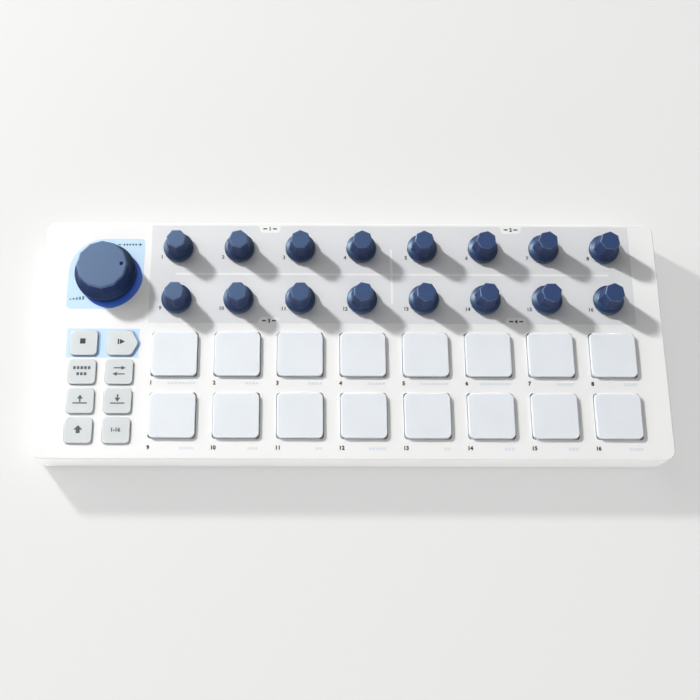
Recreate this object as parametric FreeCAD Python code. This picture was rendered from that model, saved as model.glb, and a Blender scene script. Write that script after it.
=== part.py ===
import FreeCAD, Part
import math
import os

# A desktop pad controller. A moulded case carries two rows of turning knobs, two rows of pressure pads,
# a block of keys and one large knob. A steel plate on rubber feet closes it from below.
# The origin is the middle of the footprint on the table. X runs to the right, Y to the back, Z up.

# Case shell and closing plate
case_corner_radius = 5.0
case_edge_radius = 0.5
wall_thickness = 2.2
panel_thickness = 2.4
plate_thickness = 2.0
plate_gap = 0.3
foot_height = 1.5
foot_radius = 7.0
foot_edge_radius = 0.5
foot_inset = 16.0

# Distances between the groups of controls and the edges of the case
left_margin = 15.9
right_margin = 15.05
front_margin = 10.2
back_margin = 1.8
key_front_margin = 7.4
key_to_pad_gap = 8.8
pad_to_field_gap = 5.1
knob_field_depth = 52.4

# Pressure pads
pad_columns = 8
pad_rows = 2
pad_size = 22.5
pad_gap = 8.5
pad_corner_radius = 2.6
pad_window_corner_radius = 1.7
pad_edge_radius = 0.4
pad_rise = 1.5
pad_travel = 0.6
pad_lip = 0.5
plunger_corner_radius = 1.8
pad_hollow_wall = 3.6
pad_hollow_radius = 0.9
pad_skin = 3.0

# Keys
key_columns = 2
key_rows = 4
key_width = 13.55
key_depth = 12.75
key_column_gap = 4.65
key_row_gap = 2.0
key_corner_radius = 2.2
key_edge_radius = 0.5
key_rise = 0.95
key_travel = 0.8
key_flange_space = 0.3
key_stem_radius = 4.2
start_key_shoulder = 1.3
start_key_point = 2.0
contact_radius = 2.4
contact_thickness = 0.6

# Flanges that keep pads and keys under the panel
window_gap = 0.3
flange_thickness = 1.1
flange_gap = 0.25
press_clearance = 0.2

# Small knobs, and the turn of each one about its shaft in degrees
knob_row_pitch = 27.6
knob_height = 12.4
knob_lift = 0.5
knob_base_radius = 7.6
knob_flange_height = 1.9
knob_waist_radius = 5.9
knob_waist_height = 2.9
knob_crown_radius = 5.05
knob_crown_sides = 7
knob_hollow_height = 1.2
knob_turns = [14, 26, 40, 40, 38, 28, 26, 32, 12, 16, 14, 0, 4, 6, 16, 34]

# Large knob
main_knob_inset = 31.4
main_knob_base_radius = 15.4
main_knob_flange_height = 2.5
main_knob_waist_radius = 13.6
main_knob_waist_height = 4.2
main_knob_crown_radius = 12.5
main_knob_crown_sides = 12
main_knob_turn = 2.0
main_knob_hollow_height = 8.0
main_knob_dimple_radius = 1.0
main_knob_dimple_depth = 0.35
main_knob_dimple_inset = 2.6

# What all knobs share
crown_edge_radius = 0.45
knob_wall = 1.9
shoulder_depth = 0.6
knob_hub_wall = 1.0
knob_top_skin = 3.0
shaft_radius = 3.0
shaft_flat_depth = 1.4
shaft_flat_start = 1.5
shaft_gap = 0.05
shaft_hole_gap = 0.5
shaft_foot_gap = 0.2

# Encoders that carry the knobs
encoder_width = 12.0
main_encoder_width = 14.0
encoder_height = 6.7
encoder_block_height = 5.4
encoder_collar_radius = 4.6
encoder_floor = 0.6
encoder_gap = 0.3

# Main board, what sits on it and the room below it
board_thickness = 1.6
board_room = 5.6
board_margin = 1.5
sheet_thickness = 0.3
sheet_margin = 1.2
frame_margin = 1.9
frame_gap = 0.3
key_mat_thickness = 1.0
key_mat_margin = 1.0
key_mat_ring_gap = 1.2
light_width = 3.2
light_depth = 2.8
light_height = 0.9
light_hole_gap = 0.6
chip_size = 12.0
chip_height = 1.4
small_chip_size = 7.0
chip_pitch = 24.0
capacitor_count = 3
capacitor_radius = 2.5
capacitor_height = 4.2
capacitor_pitch = 9.0

# Bosses and screws
plate_boss_radius = 3.0
plate_boss_inset = 4.8
front_boss_inset = 3.5
board_boss_radius = 2.6
boss_hole_gap = 0.5
screw_radius = 1.25
thread_gap = 0.05
screw_grip = 7.0
screw_end_room = 1.0
screw_head_radius = 2.8
screw_recess_length = 2.6
screw_recess_width = 0.6
screw_recess_depth = 0.7
countersink_depth = 1.5
board_screw_radius = 1.1
board_screw_head_radius = 2.2
board_screw_head_height = 1.3
board_screw_grip = 4.5

# Sockets along the left wall, counted from the front
jack_count = 3
jack_front_inset = 21.5
jack_pitch = 12.0
jack_bore_radius = 1.8
jack_bore_depth = 14.0
jack_nose_radius = 3.0
jack_nose_recess = 0.2
jack_hole_gap = 0.3
jack_length = 12.4
jack_width = 6.4
jack_height = 6.2
socket_wall_gap = 0.2
usb_front_inset = 59.5
usb_width = 7.7
usb_height = 3.9
usb_length = 9.2
usb_shell = 0.4
usb_hole_gap = 0.6
usb_corner_radius = 0.8
usb_tongue_height = 1.0
usb_tongue_gap = 1.4
lock_front_inset = 92.0
lock_slot_width = 7.0
lock_slot_height = 3.0
lock_slot_radius = 0.75
lock_plate_width = 14.0
lock_plate_height = 6.4
lock_plate_thickness = 1.2

# How far a cutter runs past what it cuts, and the smallest length that counts
overshoot = 1.0
tiny = 1e-4

# Worked out from the sizes above: the case and its heights
pad_pitch = pad_size + pad_gap
key_column_pitch = key_width + key_column_gap
key_row_pitch = key_depth + key_row_gap
key_block_width = key_columns * key_column_pitch - key_column_gap
pad_block_width = pad_columns * pad_pitch - pad_gap
pad_block_depth = pad_rows * pad_pitch - pad_gap
case_width = left_margin + key_block_width + key_to_pad_gap + pad_block_width + right_margin
case_depth = front_margin + pad_block_depth + pad_to_field_gap + knob_field_depth + back_margin
case_left = -case_width / 2
case_front = -case_depth / 2
inner_left = case_left + wall_thickness
inner_front = case_front + wall_thickness
inner_width = case_width - 2 * wall_thickness
inner_depth = case_depth - 2 * wall_thickness
plate_top = foot_height + plate_thickness
board_under = plate_top + board_room
board_top = board_under + board_thickness
panel_under = board_top + encoder_height + encoder_gap
panel_top = panel_under + panel_thickness
sheet_top = board_top + sheet_thickness
flange_top = panel_under - flange_gap
flange_under = flange_top - flange_thickness
pad_foot = sheet_top + pad_travel + press_clearance
key_foot = board_top + key_travel + press_clearance
shaft_foot = board_top + encoder_floor + shaft_foot_gap
socket_middle = board_top + jack_height / 2
knob_foot = panel_top + knob_lift
knob_top = knob_foot + knob_height

# Worked out from the sizes above: where the controls are
pad_left = case_left + left_margin + key_block_width + key_to_pad_gap
pad_front = case_front + front_margin
pad_back = pad_front + pad_block_depth
column_x = [pad_left + pad_size / 2 + i * pad_pitch for i in range(pad_columns)]
pad_row_y = [pad_back - pad_size / 2 - i * pad_pitch for i in range(pad_rows)]
field_front = pad_back + pad_to_field_gap
field_middle = field_front + knob_field_depth / 2
knob_row_y = [field_middle + knob_row_pitch / 2, field_middle - knob_row_pitch / 2]
key_left = case_left + left_margin
key_front = case_front + key_front_margin
key_block_depth = key_rows * key_row_pitch - key_row_gap
key_back = key_front + key_block_depth
key_x = [key_left + key_width / 2 + i * key_column_pitch for i in range(key_columns)]
key_y = [key_back - key_depth / 2 - i * key_row_pitch for i in range(key_rows)]
main_knob_x = case_left + main_knob_inset
column_gaps = [0, pad_columns // 2 - 1, pad_columns - 2]
quarter_gaps = [pad_columns // 4 - 1, pad_columns - pad_columns // 4 - 1]

UP = FreeCAD.Vector(0, 0, 1)
TO_THE_RIGHT = FreeCAD.Vector(1, 0, 0)


def rectangle(x, y, width, depth):
    """Corners of a rectangle about x, y, counter-clockwise from the front left."""
    right, back = width / 2, depth / 2
    return [(x - right, y - back), (x + right, y - back), (x + right, y + back), (x - right, y + back)]


def grown(points, amount):
    """The same convex outline with every side moved outwards by an amount."""
    count = len(points)
    lines = []
    for i in range(count):
        (ax, ay), (bx, by) = points[i], points[(i + 1) % count]
        length = math.hypot(bx - ax, by - ay)
        nx, ny = (by - ay) / length, (ax - bx) / length
        lines.append((nx, ny, nx * ax + ny * ay + amount))
    moved = []
    for i in range(count):
        (a1, b1, c1), (a2, b2, c2) = lines[i - 1], lines[i]
        cross = a1 * b2 - a2 * b1
        moved.append(((c1 * b2 - c2 * b1) / cross, (a1 * c2 - a2 * c1) / cross))
    return moved


def rounded_wire(points, radius, z):
    """A closed wire at height z through a convex outline whose corners are arcs of one radius."""
    count = len(points)
    corners = [FreeCAD.Vector(x, y, z) for x, y in points]
    if radius <= 0:
        return Part.makePolygon(corners + corners[:1])
    arcs = []
    for i in range(count):
        corner = corners[i]
        before = (corners[i - 1] - corner).normalize()
        after = (corners[(i + 1) % count] - corner).normalize()
        half = before.getAngle(after) / 2
        inward = (before + after).normalize()
        reach = radius / math.tan(half)
        middle = corner + inward * (radius / math.sin(half) - radius)
        arcs.append((corner + before * reach, middle, corner + after * reach))
    edges = []
    for i in range(count):
        start, middle, end = arcs[i]
        edges.append(Part.Arc(start, middle, end).toShape())
        following = arcs[(i + 1) % count][0]
        if (following - end).Length > tiny:
            edges.append(Part.LineSegment(end, following).toShape())
    return Part.Wire(edges)


def prism(points, radius, low, high):
    """A solid between two heights with a rounded outline."""
    return Part.Face(rounded_wire(points, radius, low)).extrude(UP * (high - low))


def post(x, y, radius, low, high):
    """An upright cylinder."""
    return Part.makeCylinder(radius, high - low, FreeCAD.Vector(x, y, low), UP)


def bar(x, y, z, radius, length):
    """A cylinder that runs to the right from a point."""
    return Part.makeCylinder(radius, length, FreeCAD.Vector(x, y, z), TO_THE_RIGHT)


def block(left, front, low, width, depth, height):
    """A plain box from its lowest corner."""
    return Part.makeBox(width, depth, height, FreeCAD.Vector(left, front, low))


def edges_at(shape, height):
    """Edges that lie wholly at one height."""
    found = []
    for edge in shape.Edges:
        box = edge.BoundBox
        if abs(box.ZMin - height) < tiny and abs(box.ZMax - height) < tiny:
            found.append(edge)
    return found


def joined(solids):
    """One solid from several that touch or overlap."""
    return solids[0].multiFuse(solids[1:]).removeSplitter()


def export(name, *solids):
    """Write one node with one or more separate solids."""
    shape = solids[0] if len(solids) == 1 else Part.makeCompound(list(solids))
    shape.exportStep("parts/" + name + ".step")


def plate_boss_places():
    """Bosses that take the screws of the closing plate: corners, front and back middle, and two inside."""
    side = inner_width / 2 - plate_boss_inset
    end = inner_depth / 2 - plate_boss_inset
    places = [(-side, -end), (side, -end), (side, end), (-side, end)]
    middle = column_gap_x(column_gaps[1])
    places.append((middle, inner_front + front_boss_inset))
    places.append((middle, end))
    between = (pad_back + knob_row_y[-1] - encoder_width / 2) / 2
    for gap in quarter_gaps:
        places.append((column_gap_x(gap), between))
    return places


def board_boss_places():
    """Bosses that take the screws of the main board: between knobs, between pads and above the keys."""
    places = []
    for gap in column_gaps:
        places.append((column_gap_x(gap), field_middle))
        places.append((column_gap_x(gap), (pad_row_y[0] + pad_row_y[-1]) / 2))
    above_keys = (key_back + field_middle - main_knob_base_radius) / 2
    places.append((main_knob_x, above_keys))
    return places


def column_gap_x(gap):
    """Middle of the gap after a column."""
    return (column_x[gap] + column_x[gap + 1]) / 2


def knob_places():
    """Centres of the small knobs, back row first, left to right."""
    return [(x, y) for y in knob_row_y for x in column_x]


def pad_places():
    """Centres of the pads, back row first, left to right."""
    return [(x, y) for y in pad_row_y for x in column_x]


def stem_places():
    """Centres of the key stems, back row first, left to right."""
    return [(x, y) for y in key_y for x in key_x]


def jack_places():
    """Y of each round socket, from the front."""
    return [case_front + jack_front_inset + i * jack_pitch for i in range(jack_count)]


def key_outlines():
    """Outline of each key, back row first. The second key of the back row is pointed to the right."""
    outlines = []
    for y in key_y:
        for x in key_x:
            outlines.append(rectangle(x, y, key_width, key_depth))
    x, y = key_x[-1], key_y[0]
    left, shoulder = x - key_width / 2, x + key_width / 2 - start_key_shoulder
    point = x + key_width / 2 + start_key_point
    front, back = y - key_depth / 2, y + key_depth / 2
    outlines[key_columns - 1] = [(left, front), (shoulder, front), (point, y), (shoulder, back), (left, back)]
    return outlines


def usb_middle():
    """Y and Z of the middle of the flat socket."""
    return case_front + usb_front_inset, board_top + usb_height / 2


def lock_middle():
    """Y and Z of the middle of the lock slot, level with the round sockets."""
    return case_front + lock_front_inset, socket_middle


def across_wall(y, z, width, height, radius, start, length):
    """A rounded block that runs to the right, centred on y and z."""
    flat = prism(rectangle(0, 0, height, width), radius, 0, length)
    flat.rotate(FreeCAD.Vector(0, 0, 0), FreeCAD.Vector(0, 1, 0), 90)
    flat.translate(FreeCAD.Vector(start, y, z))
    return flat


def wall_openings():
    """Cutters for the sockets and the lock slot in the left wall."""
    start = case_left - wall_thickness
    length = 3 * wall_thickness
    cutters = []
    for y in jack_places():
        cutters.append(bar(start, y, socket_middle, jack_nose_radius + jack_hole_gap, length))
    y, z = usb_middle()
    wide, tall = usb_width + 2 * usb_hole_gap, usb_height + 2 * usb_hole_gap
    cutters.append(across_wall(y, z, wide, tall, usb_corner_radius + usb_hole_gap, start, length))
    y, z = lock_middle()
    cutters.append(across_wall(y, z, lock_slot_width, lock_slot_height, lock_slot_radius, start, length))
    return cutters


def top_case():
    """The moulded shell with its windows, shaft holes, bosses and side openings."""
    outline = rectangle(0, 0, case_width, case_depth)
    shell = prism(outline, case_corner_radius, foot_height, panel_top)
    shell = shell.makeFillet(case_edge_radius, edges_at(shell, panel_top))
    inner = rectangle(0, 0, inner_width, inner_depth)
    hollow = prism(inner, case_corner_radius - wall_thickness, foot_height - wall_thickness, panel_under)
    cutters = [hollow]
    low, high = panel_under - panel_thickness, panel_top + panel_thickness
    for x, y in pad_places():
        window = grown(rectangle(x, y, pad_size, pad_size), window_gap)
        cutters.append(prism(window, pad_window_corner_radius, low, high))
    for outline in key_outlines():
        cutters.append(prism(grown(outline, window_gap), key_corner_radius + window_gap, low, high))
    for x, y in knob_places() + [(main_knob_x, field_middle)]:
        cutters.append(post(x, y, shaft_radius + shaft_hole_gap, low, high))
    shell = shell.cut(cutters + wall_openings())
    bosses = []
    holes = []
    for x, y in plate_boss_places():
        bosses.append(post(x, y, plate_boss_radius, plate_top, panel_under + panel_thickness / 2))
        depth = screw_grip + screw_end_room
        holes.append(post(x, y, screw_radius + thread_gap, foot_height, plate_top + depth))
    for x, y in board_boss_places():
        bosses.append(post(x, y, board_boss_radius, board_top, panel_under + panel_thickness / 2))
        depth = board_screw_grip + screw_end_room
        holes.append(post(x, y, board_screw_radius + thread_gap, board_under, board_top + depth))
    return joined([shell] + bosses).cut(holes)


def base_plate():
    """The steel plate inside the walls, with countersunk holes."""
    inner = grown(rectangle(0, 0, inner_width, inner_depth), -plate_gap)
    radius = case_corner_radius - wall_thickness - plate_gap
    sheet = prism(inner, radius, foot_height, plate_top)
    cutters = []
    for x, y in plate_boss_places():
        radius = screw_radius + boss_hole_gap
        cutters.append(post(x, y, radius, foot_height - overshoot, plate_top + overshoot))
        cutters.append(countersink(x, y, thread_gap))
    return sheet.cut(cutters)


def countersink(x, y, gap):
    """The cone of a countersunk head, with a gap around it."""
    wide, narrow = screw_head_radius + gap, screw_radius + gap
    return Part.makeCone(wide, narrow, countersink_depth, FreeCAD.Vector(x, y, foot_height), UP)


def plate_screws():
    """Countersunk screws with a cross recess."""
    screws = []
    for x, y in plate_boss_places():
        screw = countersink(x, y, 0)
        top = plate_top + screw_grip
        screw = joined([screw, post(x, y, screw_radius, foot_height + countersink_depth / 2, top)])
        long, slim = screw_recess_length, screw_recess_width
        for wide, deep in ((long, slim), (slim, long)):
            low = foot_height - screw_recess_depth
            arm = block(x - wide / 2, y - deep / 2, low, wide, deep, 2 * screw_recess_depth)
            screw = screw.cut(arm)
        screws.append(screw)
    return screws


def rubber_feet():
    """Round feet glued under the plate."""
    feet = []
    side = case_width / 2 - foot_inset
    end = case_depth / 2 - foot_inset
    for x, y in rectangle(0, 0, 2 * side, 2 * end):
        foot = post(x, y, foot_radius, 0, foot_height)
        feet.append(foot.makeFillet(foot_edge_radius, edges_at(foot, 0)))
    return feet


def boss_notch(x, y, half_width, half_depth):
    """Where the board makes room for a plate boss: a square hole that runs out over an edge close by."""
    reach = plate_boss_radius + boss_hole_gap
    left, right, front, back = x - reach, x + reach, y - reach, y + reach
    far_x, far_y = half_width + overshoot, half_depth + overshoot
    if abs(x) + 2 * reach > half_width:
        left, right = (left, far_x) if x > 0 else (-far_x, right)
    if abs(y) + 2 * reach > half_depth:
        front, back = (front, far_y) if y > 0 else (-far_y, back)
    thickness = board_thickness + 2 * overshoot
    return block(left, front, board_under - overshoot, right - left, back - front, thickness)


def main_board():
    """The circuit board, with room for the plate bosses and holes for the board screws."""
    width, depth = inner_width - 2 * board_margin, inner_depth - 2 * board_margin
    sheet = prism(rectangle(0, 0, width, depth), 0, board_under, board_top)
    cutters = [boss_notch(x, y, width / 2, depth / 2) for x, y in plate_boss_places()]
    for x, y in board_boss_places():
        radius = board_screw_radius + thread_gap
        cutters.append(post(x, y, radius, board_under - overshoot, board_top + overshoot))
    return sheet.cut(cutters)


def board_screws():
    """Round-headed screws that hold the board up against its bosses."""
    screws = []
    for x, y in board_boss_places():
        head = post(x, y, board_screw_head_radius, board_under - board_screw_head_height, board_under)
        shank = post(x, y, board_screw_radius, board_under, board_top + board_screw_grip)
        screws.append(joined([head, shank]))
    return screws


def encoder(x, y, width):
    """A square encoder body with a round collar and a blind bore for the shaft."""
    body = block(x - width / 2, y - width / 2, board_top, width, width, encoder_block_height)
    collar = post(x, y, encoder_collar_radius, board_top, board_top + encoder_height)
    bore = post(x, y, shaft_radius + shaft_gap, board_top + encoder_floor, panel_under)
    return joined([body, collar]).cut(bore)


def faceted_cap(base_radius, flange_height, waist_radius, waist_height, crown_radius, sides, turn):
    """A round flange and a sloping shoulder under a many-sided barrel that narrows up to the crown.

    The barrel's corners are at the waist radius where the shoulder reaches them. The shoulder runs on into the
    flat sides by shoulder_depth, so that it ends in an arc on each of them.
    """
    flange = Part.makeCylinder(base_radius, flange_height)
    slope = (waist_height - flange_height) / (base_radius - waist_radius)
    inner_radius = waist_radius * math.cos(math.pi / sides) - shoulder_depth
    rise = slope * (base_radius - inner_radius)
    shoulder = Part.makeCone(base_radius, inner_radius, rise, UP * flange_height, UP)
    spread = (waist_radius - crown_radius) / (knob_height - waist_height)
    wires = []
    for height in (flange_height / 2, knob_height):
        reach = crown_radius + spread * (knob_height - height)
        corners = []
        for i in range(sides + 1):
            angle = 2 * math.pi * i / sides
            corners.append(FreeCAD.Vector(reach * math.cos(angle), reach * math.sin(angle), height))
        wires.append(Part.makePolygon(corners))
    barrel = Part.makeLoft(wires, True, True)
    cap = joined([flange, shoulder, barrel])
    cap = cap.makeFillet(crown_edge_radius, edges_at(cap, knob_height))
    cap.rotate(FreeCAD.Vector(0, 0, 0), UP, turn)
    return cap


def shaft(turn, gap, top):
    """A shaft with a flat on one side along its upper part, in the knob's own frame."""
    round_part = post(0, 0, shaft_radius + gap, shaft_foot - knob_foot, top + gap)
    flat_edge = shaft_radius - shaft_flat_depth + gap
    reach = shaft_radius + overshoot
    waste = block(flat_edge, -reach, shaft_flat_start, reach, 2 * reach, knob_height)
    keyed = round_part.cut(waste)
    keyed.rotate(FreeCAD.Vector(0, 0, 0), UP, turn)
    return keyed


def finished_knob(cap, hollow_radius, hollow_height, turn, x, y):
    """A cap hollowed from below around its hub, and its shaft, both moved to their place."""
    hub_radius = shaft_radius + shaft_gap + knob_hub_wall
    hollow = Part.makeCylinder(hollow_radius, hollow_height)
    hollow = hollow.cut(Part.makeCylinder(hub_radius, hollow_height))
    shaft_top = knob_height - knob_top_skin
    cap = cap.cut([hollow, shaft(turn, shaft_gap, shaft_top)])
    solids = [cap, shaft(turn, 0, shaft_top)]
    for solid in solids:
        solid.translate(FreeCAD.Vector(x, y, knob_foot))
    return solids


def small_knob(index, x, y):
    """One of the small knobs at its own turn."""
    turn = knob_turns[index % len(knob_turns)]
    cap = faceted_cap(knob_base_radius, knob_flange_height, knob_waist_radius, knob_waist_height,
                      knob_crown_radius, knob_crown_sides, turn)
    return finished_knob(cap, knob_base_radius - knob_wall, knob_hollow_height, turn, x, y)


def main_knob():
    """The large knob, with a shallow finger dimple near the edge of its top."""
    cap = faceted_cap(main_knob_base_radius, main_knob_flange_height, main_knob_waist_radius,
                      main_knob_waist_height, main_knob_crown_radius, main_knob_crown_sides, main_knob_turn)
    bowl_radius = (main_knob_dimple_radius ** 2 + main_knob_dimple_depth ** 2) / (2 * main_knob_dimple_depth)
    middle = FreeCAD.Vector(main_knob_crown_radius - main_knob_dimple_inset, 0,
                            knob_height + bowl_radius - main_knob_dimple_depth)
    cap = cap.cut(Part.makeSphere(bowl_radius, middle))
    hollow_radius = main_knob_crown_radius - knob_wall
    return finished_knob(cap, hollow_radius, main_knob_hollow_height, main_knob_turn, main_knob_x, field_middle)


def pressed_block(outline, corner_radius, edge_radius, rise, lip, flange_radius):
    """The visible block of a pad or key with the flange that keeps it under the panel."""
    top = prism(outline, corner_radius, flange_under, panel_top + rise)
    top = top.makeFillet(edge_radius, edges_at(top, panel_top + rise))
    flange = prism(grown(outline, lip), flange_radius, flange_under, flange_top)
    return joined([top, flange])


def pad(x, y):
    """One silicone pad, hollow below over its light, standing just over the sensor sheet."""
    outline = rectangle(x, y, pad_size, pad_size)
    body = pressed_block(outline, pad_corner_radius, pad_edge_radius, pad_rise, window_gap + pad_lip,
                         pad_window_corner_radius + pad_lip)
    plunger = prism(plunger_outline(x, y, 0), plunger_corner_radius, pad_foot, flange_under)
    inside = grown(plunger_outline(x, y, 0), -pad_hollow_wall)
    hollow = prism(inside, pad_hollow_radius, pad_foot - overshoot, panel_top + pad_rise - pad_skin)
    return joined([body, plunger]).cut(hollow)


def plunger_outline(x, y, gap):
    """The part of a pad that passes through the frame, with a gap around it."""
    narrower = window_gap + pad_lip + frame_gap
    return grown(rectangle(x, y, pad_size, pad_size), gap - narrower)


def key(outline, x, y):
    """One silicone key and the contact disc in the end of its stem."""
    lip = (key_row_gap - key_flange_space) / 2
    body = pressed_block(outline, key_corner_radius, key_edge_radius, key_rise, lip, key_corner_radius + lip)
    stem = post(x, y, key_stem_radius, key_foot, flange_under)
    pocket = post(x, y, contact_radius + thread_gap, key_foot - overshoot, key_foot + contact_thickness)
    disc = post(x, y, contact_radius, key_foot, key_foot + contact_thickness)
    return [joined([body, stem]).cut(pocket), disc]


def pad_area(margin):
    """Outline around all the pads with a margin."""
    x = pad_left + pad_block_width / 2
    y = pad_front + pad_block_depth / 2
    return grown(rectangle(x, y, pad_block_width, pad_block_depth), margin)


def boss_clearance(low, high):
    """Cutters that let the bosses of the case through a sheet or frame."""
    cutters = [post(x, y, board_boss_radius + frame_gap, low, high) for x, y in board_boss_places()]
    for x, y in plate_boss_places():
        cutters.append(post(x, y, plate_boss_radius + frame_gap, low, high))
    return cutters


def pad_frame():
    """The moulded frame that guides the pads, standing on the sensor sheet."""
    top = flange_under - pad_travel - frame_gap
    frame = prism(pad_area(frame_margin), plunger_corner_radius, sheet_top, top)
    low, high = sheet_top - overshoot, top + overshoot
    cutters = boss_clearance(low, high)
    for x, y in pad_places():
        window = plunger_outline(x, y, frame_gap)
        cutters.append(prism(window, plunger_corner_radius + frame_gap, low, high))
    return frame.cut(cutters)


def pad_sensor_sheet():
    """The pressure-sensing film between the pads and the board."""
    sheet = prism(pad_area(sheet_margin), 0, board_top, sheet_top)
    low, high = board_top - overshoot, sheet_top + overshoot
    cutters = boss_clearance(low, high)
    for x, y in pad_places():
        wide, deep = light_width + 2 * light_hole_gap, light_depth + 2 * light_hole_gap
        cutters.append(prism(rectangle(x, y, wide, deep), 0, low, high))
    return sheet.cut(cutters)


def pad_lights():
    """One light under each pad."""
    lights = []
    for x, y in pad_places():
        outline = rectangle(x, y, light_width, light_depth)
        lights.append(prism(outline, 0, board_top, board_top + light_height))
    return lights


def key_mat():
    """The fixed sheet of the silicone keypad, with a ring of free space around each stem."""
    x = key_left + key_block_width / 2
    y = key_front + key_block_depth / 2
    area = grown(rectangle(x, y, key_block_width, key_block_depth), key_mat_margin)
    mat = prism(area, key_corner_radius, board_top, board_top + key_mat_thickness)
    cutters = []
    radius = key_stem_radius + key_mat_ring_gap
    low, high = board_top - overshoot, board_top + key_mat_thickness + overshoot
    for x, y in stem_places():
        cutters.append(post(x, y, radius, low, high))
    return mat.cut(cutters)


def jack_sockets():
    """Round sockets on the board, each with a nose in the wall and a bore for the plug."""
    sockets = []
    left = inner_left + socket_wall_gap
    for y in jack_places():
        body = block(left, y - jack_width / 2, board_top, jack_length, jack_width, jack_height)
        nose_start = case_left + jack_nose_recess
        nose = bar(nose_start, y, socket_middle, jack_nose_radius, left - nose_start)
        bore = bar(nose_start, y, socket_middle, jack_bore_radius, jack_bore_depth)
        sockets.append(joined([body, nose]).cut(bore))
    return sockets


def usb_socket():
    """A flat socket: a bent steel shell around a tongue, open to the left."""
    y, z = usb_middle()
    start = case_left + wall_thickness / 2
    shell = across_wall(y, z, usb_width, usb_height, usb_corner_radius, start, usb_length)
    wide, tall = usb_width - 2 * usb_shell, usb_height - 2 * usb_shell
    inside = across_wall(y, z, wide, tall, usb_corner_radius - usb_shell, start, usb_length - usb_shell)
    tongue_length = usb_length - usb_tongue_gap
    tongue_width = wide - 2 * usb_tongue_gap
    tongue = across_wall(y, z, tongue_width, usb_tongue_height, 0, start + usb_tongue_gap, tongue_length)
    return joined([shell.cut(inside), tongue.common(shell)])


def lock_plate():
    """The steel plate behind the lock slot, against the inside of the wall."""
    y, z = lock_middle()
    plate = across_wall(y, z, lock_plate_width, lock_plate_height, 0, inner_left, lock_plate_thickness)
    start, length = inner_left - overshoot, lock_plate_thickness + 2 * overshoot
    slot = across_wall(y, z, lock_slot_width, lock_slot_height, lock_slot_radius, start, length)
    return plate.cut(slot)


def logic_chips():
    """Flat chips under the board: one large between two small."""
    chips = []
    x = column_gap_x(quarter_gaps[0])
    for offset, size in ((-chip_pitch, small_chip_size), (0, chip_size), (chip_pitch, small_chip_size)):
        outline = rectangle(x + offset, field_middle, size, size)
        chips.append(prism(outline, 0, board_under - chip_height, board_under))
    return chips


def capacitors():
    """Round capacitors under the board near the sockets."""
    cans = []
    for i in range(capacitor_count):
        x = key_x[0] + i * capacitor_pitch
        cans.append(post(x, key_y[0], capacitor_radius, board_under - capacitor_height, board_under))
    return cans


os.makedirs("parts", exist_ok=True)

export("top_case", top_case())
export("base_plate", base_plate())
export("plate_screws", *plate_screws())
export("rubber_feet", *rubber_feet())
export("main_board", main_board())
export("board_screws", *board_screws())
export("knob_encoders", *[encoder(x, y, encoder_width) for x, y in knob_places()])
export("main_encoder", encoder(main_knob_x, field_middle, main_encoder_width))
export("pad_frame", pad_frame())
export("pad_sensor_sheet", pad_sensor_sheet())
export("pad_lights", *pad_lights())
export("key_mat", key_mat())
export("jack_sockets", *jack_sockets())
export("usb_socket", usb_socket())
export("lock_plate", lock_plate())
export("logic_chips", *logic_chips())
export("capacitors", *capacitors())
export("main_knob", *main_knob())
for number, (x, y) in enumerate(knob_places()):
    export("knob_%02d" % (number + 1), *small_knob(number, x, y))
for number, (x, y) in enumerate(pad_places()):
    export("pad_%02d" % (number + 1), pad(x, y))
for number, (x, y) in enumerate(stem_places()):
    export("key_%d" % (number + 1), *key(key_outlines()[number], x, y))
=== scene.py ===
import math

import bmesh
import bpy
import numpy as np
from mathutils import Matrix, Vector


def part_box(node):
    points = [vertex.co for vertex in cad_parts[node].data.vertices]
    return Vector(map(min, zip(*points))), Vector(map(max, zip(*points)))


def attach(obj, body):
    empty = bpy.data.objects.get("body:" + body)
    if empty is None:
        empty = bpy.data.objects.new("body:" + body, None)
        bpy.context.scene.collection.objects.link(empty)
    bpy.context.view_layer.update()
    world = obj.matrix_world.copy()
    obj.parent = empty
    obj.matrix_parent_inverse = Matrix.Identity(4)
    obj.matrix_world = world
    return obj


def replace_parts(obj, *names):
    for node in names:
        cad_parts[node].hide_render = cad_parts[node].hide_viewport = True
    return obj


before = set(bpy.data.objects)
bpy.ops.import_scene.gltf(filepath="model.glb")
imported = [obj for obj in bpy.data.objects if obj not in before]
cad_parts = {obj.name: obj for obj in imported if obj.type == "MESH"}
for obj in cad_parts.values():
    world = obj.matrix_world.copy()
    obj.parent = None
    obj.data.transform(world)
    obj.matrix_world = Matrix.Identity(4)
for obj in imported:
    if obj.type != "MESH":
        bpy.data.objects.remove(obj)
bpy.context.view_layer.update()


# Top case: ABS, injection moulded in one piece with its windows, walls and screw bosses.
# The mould was spark eroded, which leaves an even grain a third of a millimetre wide: it reads as matt white.
mm = 0.001


def linear(code):
    """An sRGB hex colour as linear light: each channel goes back through the sRGB curve."""
    channel = np.array([int(code[i:i + 2], 16) for i in (1, 3, 5)]) / 255
    bright = ((channel + 0.055) / 1.055) ** 2.4
    return (*np.where(channel > 0.04045, bright, channel / 12.92), 1.0)


def add_node(tree, kind, inputs=None, **settings):
    """A node with its settings. An input takes a value, or a link when it is given a socket."""
    node = tree.nodes.new(kind)
    for name, value in settings.items():
        setattr(node, name, value)
    for name, value in (inputs or {}).items():
        if isinstance(value, bpy.types.NodeSocket):
            tree.links.new(value, node.inputs[name])
        else:
            node.inputs[name].default_value = value
    return node


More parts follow.
